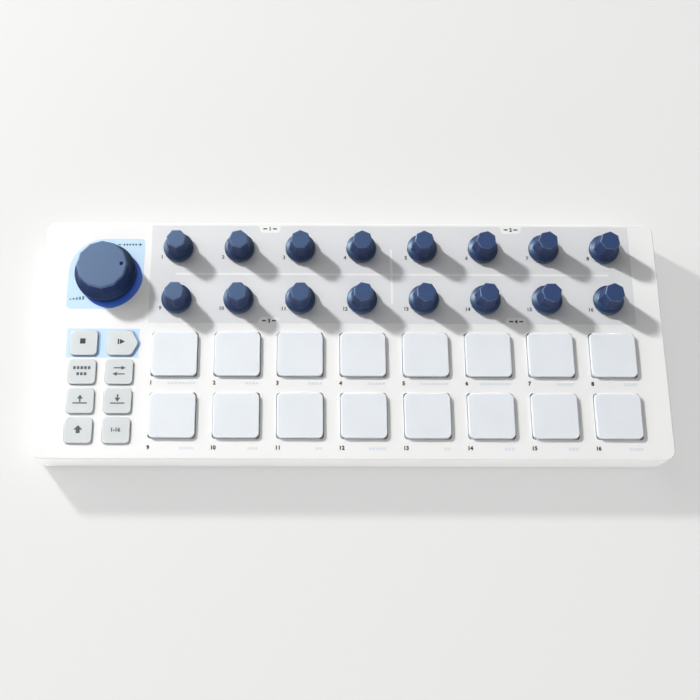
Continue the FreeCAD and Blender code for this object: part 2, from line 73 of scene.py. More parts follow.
def new_material(name, colour, roughness, **sockets):
    """A material in one colour, with its tree, its shader and the place on the object that patterns follow."""
    material = bpy.data.materials.new(name)
    material.use_nodes = True
    tree = material.node_tree
    tree.nodes.clear()
    shader = add_node(tree, "ShaderNodeBsdfPrincipled", {"Base Color": linear(colour), "Roughness": roughness})
    for socket, value in sockets.items():
        shader.inputs[socket.replace("_", " ")].default_value = value
    add_node(tree, "ShaderNodeOutputMaterial", {"Surface": shader.outputs[0]})
    place = add_node(tree, "ShaderNodeTexCoord").outputs["Object"]
    return material, tree, shader, place


def grain(made, width, height, roughness=None, stretch=(1, 1, 1)):
    """Low random bumps of a width and height in mm, which can also move the gloss between two roughness values."""
    material, tree, shader, place = made
    scale = [1 / (width * mm * longer) for longer in stretch]
    scaled = add_node(tree, "ShaderNodeMapping", {"Vector": place, "Scale": scale})
    noise = add_node(tree, "ShaderNodeTexNoise", {"Vector": scaled.outputs[0], "Scale": 1.0, "Detail": 2.0})
    bump = add_node(tree, "ShaderNodeBump", {"Height": noise.outputs["Fac"], "Distance": height * mm})
    tree.links.new(bump.outputs["Normal"], shader.inputs["Normal"])
    if roughness:
        spread = add_node(tree, "ShaderNodeMapRange", {"Value": noise.outputs["Fac"], "From Min": 0.3,
                                                       "From Max": 0.7, "To Min": roughness[0],
                                                       "To Max": roughness[1]})
        tree.links.new(spread.outputs["Result"], shader.inputs["Roughness"])
    return material


def clouds(made, first, second, width):
    """Soft patches, one to a width in mm, that drift between two colours."""
    material, tree, shader, place = made
    noise = add_node(tree, "ShaderNodeTexNoise", {"Vector": place, "Scale": 1 / (width * mm), "Detail": 3.0})
    ramp = add_node(tree, "ShaderNodeValToRGB", {"Fac": noise.outputs["Fac"]})
    low, high = ramp.color_ramp.elements
    low.position, high.position = 0.35, 0.65
    low.color, high.color = linear(first), linear(second)
    tree.links.new(ramp.outputs["Color"], shader.inputs["Base Color"])
    return made


def dress(node, material):
    """Gives a CAD node that keeps showing its real finish."""
    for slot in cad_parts[node].material_slots:
        slot.material = material


panel_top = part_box("top_case")[1].z
white_abs = clouds(new_material("abs_white_spark_eroded", "#F5F5F4", 0.5), "#F6F6F5", "#F3F3F2", width=40)
dress("top_case", grain(white_abs, width=0.35, height=0.012, roughness=(0.46, 0.56)))


# Printing on the panel: two-part ink pressed on by a silicone stamp after moulding, in greys, blues and white.
# The film is a few hundredths of a millimetre thick and smoother than the grain below, so it has a little more gloss.
# Each film reaches a hundredth of a millimetre into what it lies on.
first_film, second_film, figure_film, film_sink = 0.03 * mm, 0.05 * mm, 0.07 * mm, 0.01 * mm
shaft_opening = 3.6 * mm


def box_middle(node):
    """X and Y of the middle of a CAD node."""
    low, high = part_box(node)
    return np.array([low.x + high.x, low.y + high.y]) / 2


def new_ink(name, colour, cloud):
    """A printing ink in one colour, with the faintest clouding, over what still shows of the grain."""
    clouded = clouds(new_material(name, colour, 0.45), colour, cloud, width=25)
    return grain(clouded, width=0.35, height=0.006, roughness=(0.42, 0.5))


def put(name, mesh, material, body):
    """A finished mesh as a piece of one material that moves with a body."""
    mesh.materials.append(material)
    piece = bpy.data.objects.new(name, mesh)
    bpy.context.scene.collection.objects.link(piece)
    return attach(piece, body)


def weld(mesh, distance):
    """Joins the points of a mesh that lie within a distance in mm, which also removes faces without a width."""
    joined = bmesh.new()
    joined.from_mesh(mesh)
    bmesh.ops.remove_doubles(joined, verts=joined.verts, dist=distance * mm)
    joined.to_mesh(mesh)
    joined.free()


def ink(name, polygons, material, film, surface=panel_top, body="case"):
    """A print: flat polygons a film's thickness over a surface, welded where they meet and filled below.

    Each entry of polygons is an array (count, corners, 2) in metres, its corners counter-clockwise.
    """
    points, faces, start = [], [], 0
    for group in polygons:
        count, corners = group.shape[:2]
        points.append(group.reshape(-1, 2))
        faces += (np.arange(count * corners).reshape(count, corners) + start).tolist()
        start += count * corners
    flat = np.concatenate(points)
    mesh = bpy.data.meshes.new(name)
    mesh.from_pydata(np.hstack([flat, np.full((len(flat), 1), surface + film)]).tolist(), [], faces)
    weld(mesh, 0.001)
    piece = put(name, mesh, material, body)
    solid = piece.modifiers.new("film", "SOLIDIFY")
    solid.thickness, solid.offset = film + film_sink, -1
    return piece


def band(inner, outer, closed=True):
    """Four-sided polygons between two outlines with the same number of points."""
    cells = np.stack([inner, outer, np.roll(outer, -1, axis=0), np.roll(inner, -1, axis=0)], axis=1)
    return cells if closed else cells[:-1]


def rectangle(left, front, right, back, side=1):
    """Points round a rectangle in mm, counter-clockwise from its front left corner, with so many to a side."""
    corners = np.array([[left, front], [right, front], [right, back], [left, back]]) * mm
    share = np.arange(side)[None, :, None] / side
    return (corners[:, None] * (1 - share) + np.roll(corners, -1, axis=0)[:, None] * share).reshape(-1, 2)


def circle_facing(middle, outline, radius):
    """The circle about a middle whose points lie in the directions of an outline's points."""
    away = outline - middle
    return middle + away / np.linalg.norm(away, axis=1, keepdims=True) * radius


def headings(turn):
    """The directions of angles in radians, as points of the unit circle."""
    return np.stack([np.cos(turn), np.sin(turn)], axis=-1)


def arc(radius, start, end, count):
    """Points along a circle about the origin between two angles in degrees."""
    return radius * headings(np.radians(np.linspace(start, end, count)))


def figures(words, height, x, y, weight=0.0):
    """Triangles of words in a plain sans of a height in mm, centred on x and y in mm. Weight thickens the strokes."""
    curve = bpy.data.curves.new("figures", "FONT")
    curve.body, curve.offset, curve.resolution_u = words, weight, 3
    written = bpy.data.objects.new("figures", curve)
    bpy.context.scene.collection.objects.link(written)
    bpy.context.view_layer.update()
    mesh = bpy.data.meshes.new_from_object(written.evaluated_get(bpy.context.evaluated_depsgraph_get()))
    mesh.calc_loop_triangles()
    points = np.empty(len(mesh.vertices) * 3)
    mesh.vertices.foreach_get("co", points)
    points = points.reshape(-1, 3)[:, :2]
    corners = np.empty(len(mesh.loop_triangles) * 3, int)
    mesh.loop_triangles.foreach_get("vertices", corners)
    bpy.data.objects.remove(written)
    low, high = points.min(axis=0), points.max(axis=0)
    points = (points - (low + high) / 2) * height * mm / (high[1] - low[1]) + np.array([x, y]) * mm
    return points[corners].reshape(-1, 3, 2)


knob_names = ["knob_%02d" % number for number in range(1, 17)]
pad_names = ["pad_%02d" % number for number in range(1, 17)]
key_names = ["key_%d" % number for number in range(1, 9)]
knob_middles = np.array([box_middle(name) for name in knob_names]) / mm
pad_middles = np.array([box_middle(name) for name in pad_names]) / mm

field_left, field_right, field_front, field_back = -101.7, 142.5, 7.3, 60.0
column_lines = np.array([field_left, *(knob_middles[:7, 0] + knob_middles[1:8, 0]) / 2, field_right])
row_line = (knob_middles[0, 1] + knob_middles[8, 1]) / 2
grey_cells = []
for index, middle in enumerate(knob_middles * mm):
    column = index % 8
    front, back = (row_line, field_back) if index < 8 else (field_front, row_line)
    cell = rectangle(column_lines[column], front, column_lines[column + 1], back, side=10)
    grey_cells.append(band(circle_facing(middle, cell, shaft_opening), cell))
ink("print_knob_field", grey_cells, new_ink("ink_grey_stamped", "#E3E4E5", "#E1E2E4"), first_film)

divider_left, divider_right, half_divider = -89.0, 130.7, 0.55
upright_x, upright_front, upright_back = 20.4, 17.5, 47.3
tab_width, tab_flare, tab_corner = 13.0, 1.3, 1.7
tab_middles, tab_depths = (-41.4, 82.3), ((field_back, -3.7), (field_front, 3.2))


def tab(x, edge, reach):
    """A tab that runs in from the field's edge: concave flares narrow it and its two far corners are arcs."""
    inward, half = math.copysign(1, reach), tab_width / 2 - tab_flare
    quarter = arc(1, 0, 90, 7)
    flare = [(half + tab_flare * (1 - s), edge + inward * tab_flare * (1 - c)) for c, s in quarter]
    far = [(half - tab_corner * (1 - c), edge + reach - inward * tab_corner * (1 - s)) for c, s in quarter]
    right = np.array(flare + far)
    outline = (np.concatenate([right, right[::-1] * [-1, 1]]) + [x, 0]) * mm
    return (outline if inward > 0 else outline[::-1])[None]


upright_left, upright_right = upright_x - half_divider, upright_x + half_divider
white_shapes = [rectangle(divider_left, row_line - half_divider, divider_right, row_line + half_divider)[None],
                rectangle(upright_left, upright_front, upright_right, row_line - half_divider)[None],
                rectangle(upright_left, row_line + half_divider, upright_right, upright_back)[None]]
white_shapes += [tab(x, edge, reach) for edge, reach in tab_depths for x in tab_middles]
white_ink = new_ink("ink_white_stamped", "#F6F6F5", "#F4F4F3")
ink("print_dividers_and_tabs", white_shapes, white_ink, second_film)

main_middle = box_middle("main_knob")
leaf_radius, leaf_corner = 19.0 * mm, 2.2 * mm


def leaf_reach(turn):
    """How far the leaf goes in a direction: two opposite quarters are a circle and the others a rounded square.

    A straight side is as far as the radius over the longer share of the direction. Near a corner it is instead the
    far crossing of the direction with the corner's own circle.
    """
    shorter, longer = np.sort(np.abs(headings(turn)), axis=1).T
    straight = leaf_radius - leaf_corner
    along = straight * (longer + shorter)
    rounded = along + np.sqrt(np.maximum(along ** 2 - 2 * straight ** 2 + leaf_corner ** 2, 0))
    square = np.where(leaf_radius * shorter / longer > straight, rounded, leaf_radius / longer)
    return np.where(turn % math.pi < math.pi / 2, square, leaf_radius)


turn = np.radians(np.arange(360))
leaf = main_middle + leaf_reach(turn)[:, None] * headings(turn)
azure_ink = new_ink("ink_azure_stamped", "#C9E4FA", "#C6E2F9")
ink("print_leaf", [band(circle_facing(main_middle, leaf, shaft_opening), leaf)], azure_ink, first_film)

# Painted shadow: the large knob's shadow on the leaf is painted as a royal-blue crescent of ink. It lies between a
# circle about the knob's middle and a larger one moved to the front right, and stops a little short of the leaf's
# edge.
crescent_inside, crescent_circle, crescent_shift, crescent_margin = 13.8, 15.4, 4.4, 0.1
turn = np.radians(np.linspace(-135, 45, 61))
along = crescent_shift * np.cos(turn + math.pi / 4)
reach = along + np.sqrt(along ** 2 + crescent_circle ** 2 - crescent_shift ** 2)
reach = np.minimum(reach, leaf_radius / mm - crescent_margin)
reach = np.stack([np.full_like(turn, crescent_inside), reach]) * mm
crescent = main_middle + reach[..., None] * headings(turn)
ink("painted_shadow_leaf_crescent", [band(*crescent, closed=False)], new_ink("royal_blue_painted_shadow", "#447BF3", "#4077EE"),
    second_film)


def rounded_outline(corners, grow, radius, steps=8, along=4):
    """Points round a convex outline in metres: its sides moved out by grow and its corners made arcs of one radius.

    Every side is a line at a distance along its own normal. The middle of a corner's arc is where the two lines
    beside it meet once they are moved in by the radius, and the arc runs from one normal to the next. Between arcs
    the points are spread evenly along the straight run.
    """
    run = np.roll(corners, -1, axis=0) - corners
    normal = np.stack([run[:, 1], -run[:, 0]], axis=1) / np.linalg.norm(run, axis=1, keepdims=True)
    distance = (normal * corners).sum(axis=1) + grow - radius
    before, nearer = np.roll(normal, 1, axis=0), np.roll(distance, 1)
    cross = before[:, 0] * normal[:, 1] - before[:, 1] * normal[:, 0]
    middle = np.stack([nearer * normal[:, 1] - distance * before[:, 1],
                       distance * before[:, 0] - nearer * normal[:, 0]], axis=1) / cross[:, None]
    turned = np.arctan2(cross, (before * normal).sum(axis=1))[:, None] * np.linspace(0, 1, steps + 1)
    angle = np.arctan2(before[:, 1], before[:, 0])[:, None] + turned
    arcs = middle[:, None] + radius * headings(angle)
    share = (np.arange(1, along) / along)[:, None]
    runs = arcs[:, -1:] * (1 - share) + np.roll(arcs, -1, axis=0)[:, :1] * share
    return np.concatenate([arcs, runs], axis=1).reshape(-1, 2)


key_width, key_depth, key_corner, key_window_gap, key_lip = 13.55, 12.75, 2.2, 0.3, 0.85
start_shoulder, start_point = 1.3, 2.0
key_outlines = {}
for name in key_names:
    low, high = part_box(name)
    left, front = low.x / mm + key_lip, low.y / mm + key_lip
    key_outlines[name] = rectangle(left, front, left + key_width, front + key_depth)
    if name == "key_2":
        right, back = left + key_width, front + key_depth
        key_outlines[name] = np.array([[left, front], [right - start_shoulder, front],
                                       [right + start_point, front + key_depth / 2],
                                       [right - start_shoulder, back], [left, back]]) * mm


def patch_round(window, left, front, right, back):
    """The band between a window and a rectangle in mm about it, without a width where the window passes it."""
    corners = rectangle(left, front, right, back)
    middle, half = corners.mean(axis=0), (corners[2] - corners[0]) / 2
    away = window - middle
    reach = 1 / np.abs(away / half).max(axis=1, keepdims=True)
    outer = middle + away * np.maximum(reach, 1)
    for corner in corners:
        outer[np.linalg.norm(outer - corner, axis=1).argmin()] = corner
    return band(window, outer)


# The two patches stay a fiftieth of a millimetre apart, so that each is closed by itself.
patch_left, patch_split, patch_right, patch_front, patch_back = -141.5, -123.7, -105.6, -10.95, 4.1
patch_seam, shadow_band_width, shadow_aim, least_shadow_band = 0.01, 1.1, np.array([0.94, -0.34]), 0.02
windows = [rounded_outline(key_outlines[name], key_window_gap * mm, (key_corner + key_window_gap) * mm)
           for name in ("key_1", "key_2")]
patches = [patch_round(windows[0], patch_left, patch_front, patch_split - patch_seam, patch_back),
           patch_round(windows[1], patch_split + patch_seam, patch_front, patch_right, patch_back)]
ink("print_key_patch", patches, azure_ink, first_film)


def painted_shadow_band(window, width):
    """The band of painted shadow beside a window, widest at its right: its width follows how far a side faces the aim.
    """
    run = np.roll(window, -1, axis=0) - np.roll(window, 1, axis=0)
    normal = np.stack([run[:, 1], -run[:, 0]], axis=1) / np.linalg.norm(run, axis=1, keepdims=True)
    facing = np.clip(normal @ shadow_aim, least_shadow_band, 1)
    return band(window, window + normal * facing[:, None] * width * mm)


# Painted shadow: sky-blue bands beside the first two keys stand for the keys' shadows on the azure patch.
ink("painted_shadow_key_rims", [painted_shadow_band(window, shadow_band_width) for window in windows],
    new_ink("sky_blue_painted_shadow", "#90BEEE", "#8CBAEB"), second_film)

knob_figure_height, knob_figure_weight, knob_figure_insets, knob_figure_drop = 2.0, 0.03, (8.3, 8.7), 4.6
knob_figures = [figures(str(n + 1), knob_figure_height, x - knob_figure_insets[n >= 12], y - knob_figure_drop,
                        knob_figure_weight) for n, (x, y) in enumerate(knob_middles)]
ink("print_knob_numbers", knob_figures, new_ink("ink_mid_grey_stamped", "#505358", "#4C4F54"), figure_film)

pad_size = 22.5
number_height, number_weight, number_insets, number_drops = 2.1, 0.04, (0.15, 0.65), (3.25, 4.55)
tab_figure_lines, tab_dash_at, tab_dash_half, tab_dash_thin = (58.4, 8.6), 2.5, 1.0, 0.35
dark_ink = new_ink("ink_charcoal_stamped", "#2C2E32", "#282A2E")
pad_figures = []
for n, (x, y) in enumerate(pad_middles):
    left, line = x - pad_size / 2 + number_insets[n >= 9], y - pad_size / 2 - number_drops[n // 8]
    pad_figures.append(figures(str(n + 1), number_height, left, line, number_weight))
for n, (x, y) in enumerate((x, y) for y in tab_figure_lines for x in tab_middles):
    pad_figures.append(figures(str(n + 1), number_height, x, y, number_weight))
    pad_figures += [rectangle(at - tab_dash_half, y - tab_dash_thin, at + tab_dash_half, y + tab_dash_thin)[None]
                    for at in (x - tab_dash_at, x + tab_dash_at)]
ink("print_pad_and_tab_numbers", pad_figures, dark_ink, figure_film)

dash_counts = (8, 4, 4, 5, 8, 9, 5, 4, 4, 3, 2, 5, 2, 3, 3, 4)
dash_inset, dash_pitch, dash_length, dash_half_width, dash_drops = 0.6, 1.75, 1.35, 0.6, (3.4, 4.95)
dashes = []
for n, ((x, y), count) in enumerate(zip(pad_middles, dash_counts)):
    line = y - pad_size / 2 - dash_drops[n // 8]
    for step in range(count):
        right = x + pad_size / 2 - dash_inset - step * dash_pitch
        dashes.append(rectangle(right - dash_length, line - dash_half_width, right, line + dash_half_width)[None])
ink("print_pad_scale_marks", dashes, new_ink("ink_ice_blue_stamped", "#E2E9F1", "#DFE6EF"), figure_film)

leaf_x, leaf_y = main_middle / mm
bar_start, bar_foot = leaf_x - 17.6, leaf_y - 14.2
bar_width, bar_pitch, bar_height, bar_rise = 1.0, 1.6, 0.6, 0.34
level_bars = [rectangle(left, bar_foot, left + bar_width, bar_foot + bar_height + n * bar_rise)[None]
              for n, left in enumerate(bar_start + np.arange(5) * bar_pitch)]
leaf_ink = new_ink("ink_steel_blue_stamped", "#5E7F99", "#5A7B95")
ink("print_leaf_level_bars", level_bars, leaf_ink, figure_film)
shift_line, dot_width, dot_half = leaf_y + 15.8, 0.8, 0.45
minus_and_plus = [(5.2, 6.8, 0.22), (15.6, 16.3, 0.22), (16.3, 16.7, 0.8), (16.7, 17.4, 0.22)]
dots = [(start, start + dot_width, dot_half) for start in (8.0, 9.5, 11.0, 12.5, 14.0)]
shift_marks = [rectangle(leaf_x + left, shift_line - high, leaf_x + right, shift_line + high)[None]
               for left, right, high in minus_and_plus + dots]
ink("print_leaf_shift_marks", shift_marks, dark_ink, figure_film)


# Pads and keys: translucent white silicone, compression moulded in heated steel moulds and dropped in from below.
# The skin is matt and soft to the eye: light goes a little way in, so edges look rounder and shadows milder.
# The sides are painted a darker grey than the tops: painted shade.
panel_thickness, flange_thickness, flange_gap = 2.4, 1.1, 0.25
bead_depths, side_steepness = (0.9, 0.7, 0.2, 0.15), 0.97
panel_under = panel_top / mm - panel_thickness
flange_top = panel_under - flange_gap
flange_under = flange_top - flange_thickness


def skin(name, rings, material, body, closed=False, crease=35):
    """Rings of points, each counter-clockwise and with the same number, joined into one watertight skin.

    Point j of a ring joins points j and j + 1 of the next ring. A closed skin returns to its first ring, and
    otherwise the first and last ring are filled from their own middles. Edges past the crease angle stay sharp.
    """
    count, around = rings.shape[:2]
    here = np.arange(around)
    after = (here + 1) % around
    low = np.arange(count if closed else count - 1)[:, None] * around
    high = (low + around) % (count * around)
    points, faces = rings.reshape(-1, 3), np.stack([low + here, low + after, high + after, high + here], axis=-1)
    faces = faces.reshape(-1, 4).tolist()
    if not closed:
        points = np.concatenate([points, rings[:1].mean(axis=1), rings[-1:].mean(axis=1)])
        first, last, end = np.full(around, count * around), np.full(around, count * around + 1), low[-1] + around
        faces += np.stack([first, after, here], axis=-1).tolist()
        faces += np.stack([last, end + here, end + after], axis=-1).tolist()
    mesh = bpy.data.meshes.new(name)
    mesh.from_pydata(points.tolist(), [], faces)
    weld(mesh, 0.0002)
    mesh.shade_smooth()
    mesh.set_sharp_from_angle(angle=math.radians(crease))
    return put(name, mesh, material, body)


def level(outline, height):
    """An outline in metres lifted to a height in mm."""
    return np.hstack([outline, np.full((len(outline), 1), height * mm)])


def rolled_edge(radius, count=6):
    """How far in and how far up, as shares of a radius, a rounded edge goes from upright to flat."""
    bend = np.linspace(0, math.pi / 2, count)
    return zip(radius * (1 - np.cos(bend)), radius * (np.sin(bend) - 1))


def visible_block(corners, corner_radius, edge_radius, lip, flange_radius, top, bead):
    """Rings of a pad or key from its flange up: flange, upright sides, rolled edge and flat top.

    Just under the panel a low bead, so wide at the sides and so wide at the front and back, narrows the window's gap.
    """
    flange = rounded_outline(corners, lip * mm, flange_radius * mm)
    side = rounded_outline(corners, 0, corner_radius * mm)
    beaded = side + np.sign(side - corners.mean(axis=0)) * bead * mm
    rings = [level(flange, flange_under), level(flange, flange_top), level(side, flange_top)]
    rings += [level(outline, panel_top / mm - depth)
              for outline, depth in zip((side, beaded, beaded, side), bead_depths)]
    for inward, upward in rolled_edge(edge_radius):
        rings.append(level(rounded_outline(corners, -inward * mm, (corner_radius - inward) * mm), top + upward))
    edge, middle = rings[-1], rings[-1].mean(axis=0)
    return rings + [middle + (edge - middle) * share for share in (0.97, 0.6, 0.25)]


def new_silicone(name, colour, cloud):
    """Moulded silicone: matt, with light that passes a millimetre under the skin and a fine grain from the mould."""
    made = new_material(name, colour, 0.6, Subsurface_Weight=0.7, Subsurface_Scale=1.2 * mm,
                        Subsurface_Radius=(1.0, 1.0, 1.0))
    return grain(clouds(made, colour, cloud, width=18), width=0.5, height=0.01, roughness=(0.55, 0.65))


def painted_shade_sides(piece, material):
    """Gives the faces that don't look straight up or down a darker material: painted shade on the sides."""
    piece.data.materials.append(material)
    normals = np.empty(len(piece.data.polygons) * 3)
    piece.data.polygons.foreach_get("normal", normals)
    piece.data.polygons.foreach_set("material_index", (np.abs(normals[2::3]) < side_steepness).astype(np.int32))
    return piece


pad_corner, pad_edge, pad_lip, pad_flange_corner, pad_wall, pad_skin = 2.6, 0.25, 0.8, 2.2, 3.6, 3.0
plunger_inset, plunger_corner, hollow_corner, pad_bead = 1.1, 1.8, 0.9, np.array([0, 0.22])
pad_silicone = new_silicone("silicone_ice_white_moulded", "#E9EDF1", "#E7EBF0")
# The pads' sides are painted a darker grey-white: painted shade.
pad_shaded_side = new_silicone("silicone_ice_white_painted_shade", "#C6CACE", "#C4C8CC")
for name, (x, y) in zip(pad_names, pad_middles):
    low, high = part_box(name)
    foot, top = low.z / mm, high.z / mm
    corners = rectangle(x - pad_size / 2, y - pad_size / 2, x + pad_size / 2, y + pad_size / 2)
    hollow = rounded_outline(corners, -(plunger_inset + pad_wall) * mm, hollow_corner * mm)
    plunger = rounded_outline(corners, -plunger_inset * mm, plunger_corner * mm)
    rings = [level(hollow, top - pad_skin), level(hollow, foot), level(plunger, foot), level(plunger, flange_under)]
    rings += visible_block(corners, pad_corner, pad_edge, pad_lip, pad_flange_corner, top, pad_bead)
    piece = painted_shade_sides(skin(name + "_silicone", np.array(rings), pad_silicone, name), pad_shaded_side)
    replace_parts(piece, name)

key_edge, stem_radius, contact_radius, contact_thickness, pocket_gap = 0.3, 4.2, 2.4, 0.6, 0.05
key_bead = np.array([0.2, 0.2])
key_silicone = new_silicone("silicone_pearl_grey_moulded", "#DADEDF", "#D8DCDD")
# The keys' sides are painted a darker grey: painted shade.
key_shaded_side = new_silicone("silicone_pearl_grey_painted_shade", "#C6CACB", "#C4C8C9")
carbon = new_material("carbon_loaded_silicone", "#26272A", 0.7)
carbon = grain(carbon, width=0.3, height=0.01, roughness=(0.65, 0.75))
for name in key_names:
    low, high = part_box(name)
    foot, top = low.z / mm, high.z / mm
    corners = key_outlines[name]
    middle = (corners[0] + [key_width / 2 * mm, key_depth / 2 * mm])
    outline = rounded_outline(corners, 0, key_corner * mm)
    pocket = circle_facing(middle, outline, (contact_radius + pocket_gap) * mm)
    stem = circle_facing(middle, outline, stem_radius * mm)
    rings = [level(pocket, foot + contact_thickness), level(pocket, foot), level(stem, foot),
             level(stem, flange_under)]
    rings += visible_block(corners, key_corner, key_edge, key_lip, key_corner + key_lip, top, key_bead)
    piece = painted_shade_sides(skin(name + "_silicone", np.array(rings), key_silicone, name), key_shaded_side)
    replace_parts(piece, name)
    disc = circle_facing(middle, outline, contact_radius * mm)
    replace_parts(skin(name + "_contact", np.array([level(disc, foot), level(disc, foot + contact_thickness)]), carbon,
                     name), name)


# Marks on the keys: stamped ink, charcoal on the first two. Stop is a square and play an arrow behind a bar.
# The six others carry plain pictures in slate ink: steps, exchange, out, in, shift and a number range.
def triangle(x, y, width, height, quarter_turns=0):
    """An arrowhead centred on x and y in mm that points to the right before its quarter turns."""
    points = np.array([[-width / 2, -height / 2], [width / 2, 0], [-width / 2, height / 2]])
    c, s = [(1, 0), (0, 1), (-1, 0), (0, -1)][quarter_turns]
    return ((points @ np.array([[c, s], [-s, c]]) + [x, y]) * mm)[None]


def box(x, y, width, height):
    """An upright rectangle centred on x and y in mm."""
    return rectangle(x - width / 2, y - height / 2, x + width / 2, y + height / 2)[None]


mark_ink = new_ink("ink_slate_stamped", "#5A5E63", "#565A5F")
for name in key_names:
    x, y = (key_outlines[name][0] / mm) + [key_width / 2, key_depth / 2]
    marks = {
        "key_1": [box(x - 0.5, y + 0.8, 2.7, 2.7)],
        "key_2": [box(x - 1.1, y + 0.6, 0.7, 2.7), triangle(x + 0.9, y + 0.6, 2.6, 2.7)],
        "key_3": [box(x - 3.7 + 1.8 * n, y + 1.8, 1.25, 1.5) for n in range(5)]
                 + [box(x - 1.9 + 1.8 * n, y - 1.3, 1.25, 1.5) for n in range(3)],
        "key_4": [box(x - 0.8, y + 1.8, 3.8, 0.6), triangle(x + 2.2, y + 1.8, 2.2, 2.1),
                  box(x + 0.9, y - 1.3, 3.8, 0.6), triangle(x - 2.1, y - 1.3, 2.2, 2.1, 2)],
        "key_5": [box(x, y - 1.3, 7.0, 0.6), box(x, y + 0.1, 0.7, 1.8), triangle(x, y + 1.9, 2.0, 2.8, 1)],
        "key_6": [box(x, y - 1.3, 7.0, 0.6), box(x, y + 2.2, 0.7, 1.8), triangle(x, y + 0.4, 2.0, 2.8, 3)],
        "key_7": [box(x, y - 0.6, 1.9, 1.8), triangle(x, y + 1.3, 2.2, 4.4, 1)],
        "key_8": [figures("1-16", 2.1, x, y + 0.3, 0.04)],
    }[name]
    ink(name + "_mark", marks, dark_ink if name in ("key_1", "key_2") else mark_ink, second_film - first_film,
        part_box(name)[1].z, name)


# Key mat: the fixed sheet of the same silicone that the stems stand in.
# It is pressed between the board and the case.
mat_silicone = new_silicone("silicone_grey_mat_moulded", "#C9CDD0", "#C5C9CC")
dress("key_mat", mat_silicone)


# Pad frame: black ABS, moulded with sixteen windows that guide the pads, laid on the film.
# The fine grain of the mould makes it an even, dull black.
black_abs = new_material("abs_black_moulded", "#232426", 0.5)
dress("pad_frame", grain(black_abs, width=0.4, height=0.02, roughness=(0.42, 0.55)))


# Sensor film: clear polyester printed with carbon fingers, whose resistance falls under pressure.
# Fingers and gaps are 0.8 mm wide each, so it shows glossy dark stripes. A wave of scale 1 is about 1 / 3.2 long.
film, tree, shader, place = new_material("polyester_film_carbon_printed", "#2B2C2F", 0.3, Coat_Weight=0.5)
finger_width = 0.8 * mm
lines = add_node(tree, "ShaderNodeTexWave", {"Vector": place, "Scale": 1 / finger_width / 6.4, "Distortion": 0.0})
tint = add_node(tree, "ShaderNodeValToRGB", {"Fac": lines.outputs["Fac"]})
tint.color_ramp.elements[0].color, tint.color_ramp.elements[1].color = linear("#1C1D1F"), linear("#55524A")
tree.links.new(tint.outputs["Color"], shader.inputs["Base Color"])
dress("pad_sensor_sheet", film)


# Main board: glass-epoxy laminate with copper traces under green lacquer, drilled and routed.
# The traces show as slightly lighter lines in a mesh 2.5 mm apart.
board, tree, shader, place = new_material("fr4_green_lacquer", "#1D5A3C", 0.35, Coat_Weight=0.3)
traces = add_node(tree, "ShaderNodeTexBrick", {"Vector": place, "Color1": linear("#1B5738"),
                                               "Color2": linear("#1F6242"), "Mortar": linear("#3F8A5E"),
                                               "Scale": 1.0, "Mortar Size": 0.12 * mm, "Brick Width": 7.5 * mm,
                                               "Row Height": 2.5 * mm})
tree.links.new(traces.outputs["Color"], shader.inputs["Base Color"])
dress("main_board", board)


# Parts on the board: encoders in nickel-plated cases, lights, sockets, chips and capacitors, all soldered.
# Rolled and drawn metal shows fine lines one way, galvanised sheet has crystals 4 mm wide, and the housings are dull.
nickel = new_material("steel_nickel_plated_rolled", "#B9B6AE", 0.3, Metallic=1.0)
dress("knob_encoders", grain(nickel, width=0.12, height=0.006, roughness=(0.26, 0.38), stretch=(12, 1, 1)))
dress("main_encoder", nickel[0])
dress("usb_socket", nickel[0])
galvanised = new_material("steel_galvanised_sheet", "#9A9D9F", 0.4, Metallic=1.0)
galvanised = clouds(galvanised, "#8F9294", "#A6A9AB", width=4)
dress("lock_plate", grain(galvanised, width=0.8, height=0.01, roughness=(0.34, 0.5)))
nylon = new_material("nylon_black_moulded", "#1D1E20", 0.45)
dress("jack_sockets", grain(nylon, width=0.4, height=0.02, roughness=(0.4, 0.52)))
epoxy = new_material("epoxy_black_moulded", "#202124", 0.6)
dress("logic_chips", grain(epoxy, width=0.15, height=0.02, roughness=(0.55, 0.68)))
aluminium = new_material("aluminium_can_drawn", "#C6C8CA", 0.28, Metallic=1.0)
dress("capacitors", grain(aluminium, width=0.2, height=0.004, roughness=(0.22, 0.34), stretch=(1, 1, 14)))
lamp_package, tree, shader, place = new_material("phosphor_lens_in_white_nylon", "#F0EEDC", 0.35)
phosphor = add_node(tree, "ShaderNodeTexVoronoi", {"Vector": place, "Scale": 1 / (1.5 * mm)})
tint = add_node(tree, "ShaderNodeValToRGB", {"Fac": phosphor.outputs["Distance"]})
tint.color_ramp.elements[0].color, tint.color_ramp.elements[1].color = linear("#E9D36A"), linear("#F2F0E6")
tree.links.new(tint.outputs["Color"], shader.inputs["Base Color"])
dress("pad_lights", lamp_package)


# Board screws: self-tapping steel, cold headed and zinc plated, driven up into the bosses of the case.
# The plating is a cloudy grey that shines unevenly.
zinc = new_material("steel_zinc_plated_headed", "#AEB0AF", 0.35, Metallic=1.0)
dress("board_screws", grain(zinc, width=0.3, height=0.01, roughness=(0.28, 0.45)))


# Base plate: cold-rolled steel sheet, blanked and powder coated charcoal.
# The melted powder leaves an orange peel of low bumps about a millimetre apart and dulls the shine.
powder = clouds(new_material("powder_coat_charcoal", "#2B2D30", 0.5), "#2B2D30", "#303236", width=12)
dress("base_plate", grain(powder, width=1.0, height=0.05, roughness=(0.42, 0.58)))


# Plate screws: countersunk steel with a cross recess, blackened in oxide salts.
# The oxide leaves a dark metal with a low, uneven shine.
oxide = new_material("steel_black_oxide", "#2C2C2E", 0.4, Metallic=1.0)
dress("plate_screws", grain(oxide, width=0.4, height=0.01, roughness=(0.32, 0.5)))


